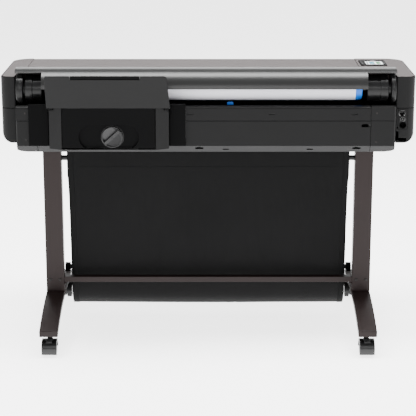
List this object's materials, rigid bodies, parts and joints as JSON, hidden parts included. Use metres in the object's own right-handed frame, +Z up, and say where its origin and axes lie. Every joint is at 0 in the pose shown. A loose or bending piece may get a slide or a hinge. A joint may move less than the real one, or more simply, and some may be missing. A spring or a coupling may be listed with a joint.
{
  "type": "large format plotter",
  "caption": "Wide roll-fed plotter on a wheeled stand, with a hinged roll cover, spindle, sheet feeder, control panel and a fabric media bin.",
  "frame": {"origin": "on the floor, midway between the end housings and midway between the ends of the feet", "axes": "+X along the roll towards the control panel, -Y towards the roll side and the sheet feeder, +Y towards the user side, +Z up"},
  "size_m": [1.317, 0.604, 0.9249],
  "materials": {
    "stand_brown": "satin",
    "fastener_black": "satin",
    "black_metal": "satin",
    "black_plastic": "matte",
    "bin_fabric": "woven",
    "caster_black": "gloss",
    "wheel_tread": "matte",
    "brake_grey": "satin",
    "strip_grey": "fine grained",
    "shell_dark": "fine grained",
    "deck_taupe": "fine grained",
    "window_smoke": "smoked",
    "cover_metallic": "metallic satin",
    "hub_gloss": "gloss",
    "stop_blue": "satin",
    "paper": "paper, matte",
    "screen_glass": "gloss",
    "button_grey": "satin",
    "steel": "satin",
    "rubber_black": "matte",
    "board_green": "coated",
    "door_black": "fine grained"
  },
  "bodies": {
    "chassis": {"left_column": "stand_brown", "right_column": "stand_brown", "left_foot": "stand_brown", "right_foot": "stand_brown", "crossbar": "stand_brown", "stand_fasteners": "fastener_black", "bin_rods": "black_metal", "bin_brackets": "black_plastic", "bin_fabric": "bin_fabric", "base_pan": "strip_grey", "rear_lower_panel": "shell_dark", "rear_upper_panel": "shell_dark", "left_wing_upper": "shell_dark", "left_wing_lower": "shell_dark", "right_wing_upper": "shell_dark", "right_wing_lower": "shell_dark", "top_deck": "deck_taupe", "front_apron": "shell_dark", "roll_trough": "black_plastic", "control_bezel": "black_plastic", "touch_screen": "screen_glass", "port_block": "shell_dark", "side_plates": "steel", "platen": "black_plastic", "carriage_rail": "steel", "drive_belt": "rubber_black", "ink_cartridges": "black_plastic", "main_board": "board_green", "asf_housing": "shell_dark", "asf_brackets": "black_plastic"},
    "front_lid": {"front_lid": "deck_taupe", "lid_window": "window_smoke"},
    "ink_door": {"ink_door": "shell_dark"},
    "roll_cover": {"roll_cover": "cover_metallic"},
    "spindle": {"spindle_rod": "hub_gloss", "spindle_hubs": "hub_gloss", "paper_roll": "paper"},
    "blue_stop": {"roll_stop_blue": "stop_blue"},
    "power_button": {"power_button": "button_grey"},
    "feed_roller": {"feed_roller": "steel"},
    "pinch_rollers": {"pinch_rollers": "rubber_black"},
    "carriage": {"carriage": "black_plastic"},
    "drive_pulley": {"drive_pulley": "steel"},
    "asf_door": {"asf_door": "door_black"},
    "lock_knob": {"lock_knob": "hub_gloss"},
    "pick_roller": {"pick_roller": "rubber_black"},
    "input_tray": {"input_tray": "shell_dark"},
    "tray_extension": {"tray_extension": "black_plastic"},
    "sheet_guide_left": {"sheet_guide_left": "black_plastic"},
    "sheet_guide_right": {"sheet_guide_right": "black_plastic"},
    "caster_rear_left": {"caster_housing_rear_left": "caster_black"},
    "wheels_rear_left": {"caster_wheels_rear_left": "wheel_tread"},
    "brake_left": {"caster_brake_rear_left": "brake_grey"},
    "caster_rear_right": {"caster_housing_rear_right": "caster_black"},
    "wheels_rear_right": {"caster_wheels_rear_right": "wheel_tread"},
    "brake_right": {"caster_brake_rear_right": "brake_grey"},
    "caster_front_left": {"caster_housing_front_left": "caster_black"},
    "wheels_front_left": {"caster_wheels_front_left": "wheel_tread"},
    "caster_front_right": {"caster_housing_front_right": "caster_black"},
    "wheels_front_right": {"caster_wheels_front_right": "wheel_tread"}
  },
  "joints": [
    {"name": "roll_cover_hinge", "type": "hinge", "parent": "chassis", "child": "roll_cover", "pos_m": [0, -0.0845, 0.8915], "axis": [-1, 0, 0], "range_deg": [0, 70]},
    {"name": "front_lid_hinge", "type": "hinge", "parent": "chassis", "child": "front_lid", "pos_m": [0, -0.027, 0.89124], "axis": [1, 0, 0], "range_deg": [0, 62]},
    {"name": "ink_door_hinge", "type": "hinge", "parent": "chassis", "child": "ink_door", "pos_m": [-0.53, 0.232, 0.697], "axis": [-1, 0, 0], "range_deg": [0, 80]},
    {"name": "spindle_spin", "type": "hinge", "parent": "chassis", "child": "spindle", "pos_m": [0, -0.138, 0.853], "axis": [1, 0, 0], "continuous": true},
    {"name": "blue_stop_slide", "type": "slide", "parent": "spindle", "child": "blue_stop", "axis": [1, 0, 0], "range_m": [0, 0.012]},
    {"name": "power_button_press", "type": "slide", "parent": "chassis", "child": "power_button", "axis": [0, -0.0345, -0.9994], "range_m": [0, 0.0015], "stiffness_N_per_m": 400},
    {"name": "feed_roller_spin", "type": "hinge", "parent": "chassis", "child": "feed_roller", "pos_m": [0, -0.004, 0.789], "axis": [1, 0, 0], "continuous": true},
    {"name": "pinch_rollers_spin", "type": "hinge", "parent": "chassis", "child": "pinch_rollers", "pos_m": [0, -0.004, 0.8073], "axis": [1, 0, 0], "continuous": true},
    {"name": "carriage_slide", "type": "slide", "parent": "chassis", "child": "carriage", "axis": [-1, 0, 0], "range_m": [0, 1]},
    {"name": "drive_pulley_spin", "type": "hinge", "parent": "chassis", "child": "drive_pulley", "pos_m": [-0.54, 0, 0.848], "axis": [0, 1, 0], "continuous": true},
    {"name": "asf_door_hinge", "type": "hinge", "parent": "chassis", "child": "asf_door", "pos_m": [-0.311, -0.256, 0.685], "axis": [1, 0, 0], "range_deg": [0, 75]},
    {"name": "lock_knob_turn", "type": "hinge", "parent": "asf_door", "child": "lock_knob", "pos_m": [-0.3, -0.256, 0.721], "axis": [0, -1, 0], "range_deg": [0, 90]},
    {"name": "pick_roller_spin", "type": "hinge", "parent": "chassis", "child": "pick_roller", "pos_m": [-0.311, -0.226, 0.745], "axis": [1, 0, 0], "continuous": true},
    {"name": "input_tray_hinge", "type": "hinge", "parent": "chassis", "child": "input_tray", "pos_m": [-0.311, -0.256, 0.818], "axis": [1, 0, 0], "range_deg": [0, 35]},
    {"name": "tray_extension_slide", "type": "slide", "parent": "input_tray", "child": "tray_extension", "axis": [0, -0.3223, 0.9466], "range_m": [0, 0.08]},
    {"name": "sheet_guide_right_slide", "type": "slide", "parent": "input_tray", "child": "sheet_guide_right", "axis": [-1, 0, 0], "range_m": [0, 0.042]},
    {"name": "sheet_guide_left_slide", "type": "slide", "parent": "input_tray", "child": "sheet_guide_left", "axis": [-1, 0, 0], "range_m": [-0.042, 0]},
    {"name": "caster_rear_left_swivel", "type": "hinge", "parent": "chassis", "child": "caster_rear_left", "pos_m": [-0.512, -0.258, 0.07], "axis": [0, 0, 1], "continuous": true},
    {"name": "wheels_rear_left_roll", "type": "hinge", "parent": "caster_rear_left", "child": "wheels_rear_left", "pos_m": [-0.512, -0.272, 0.025], "axis": [1, 0, 0], "continuous": true},
    {"name": "brake_left_press", "type": "hinge", "parent": "caster_rear_left", "child": "brake_left", "pos_m": [-0.512, -0.278, 0.056], "axis": [1, 0, 0], "range_deg": [0, 10]},
    {"name": "caster_rear_right_swivel", "type": "hinge", "parent": "chassis", "child": "caster_rear_right", "pos_m": [0.512, -0.258, 0.07], "axis": [0, 0, 1], "continuous": true},
    {"name": "wheels_rear_right_roll", "type": "hinge", "parent": "caster_rear_right", "child": "wheels_rear_right", "pos_m": [0.512, -0.272, 0.025], "axis": [1, 0, 0], "continuous": true},
    {"name": "brake_right_press", "type": "hinge", "parent": "caster_rear_right", "child": "brake_right", "pos_m": [0.512, -0.278, 0.056], "axis": [1, 0, 0], "range_deg": [0, 10]},
    {"name": "caster_front_left_swivel", "type": "hinge", "parent": "chassis", "child": "caster_front_left", "pos_m": [-0.512, 0.258, 0.07], "axis": [0, 0, 1], "continuous": true},
    {"name": "wheels_front_left_roll", "type": "hinge", "parent": "caster_front_left", "child": "wheels_front_left", "pos_m": [-0.512, 0.272, 0.025], "axis": [1, 0, 0], "continuous": true},
    {"name": "caster_front_right_swivel", "type": "hinge", "parent": "chassis", "child": "caster_front_right", "pos_m": [0.512, 0.258, 0.07], "axis": [0, 0, 1], "continuous": true},
    {"name": "wheels_front_right_roll", "type": "hinge", "parent": "caster_front_right", "child": "wheels_front_right", "pos_m": [0.512, 0.272, 0.025], "axis": [1, 0, 0], "continuous": true}
  ],
  "couplings": [
    {"joint": "pinch_rollers_spin", "follows": "feed_roller_spin", "ratio": -1.5714},
    {"joint": "drive_pulley_spin", "follows": "carriage_slide", "rad_per_m": -92.593},
    {"joint": "sheet_guide_left_slide", "follows": "sheet_guide_right_slide", "ratio": -1}
  ]
}
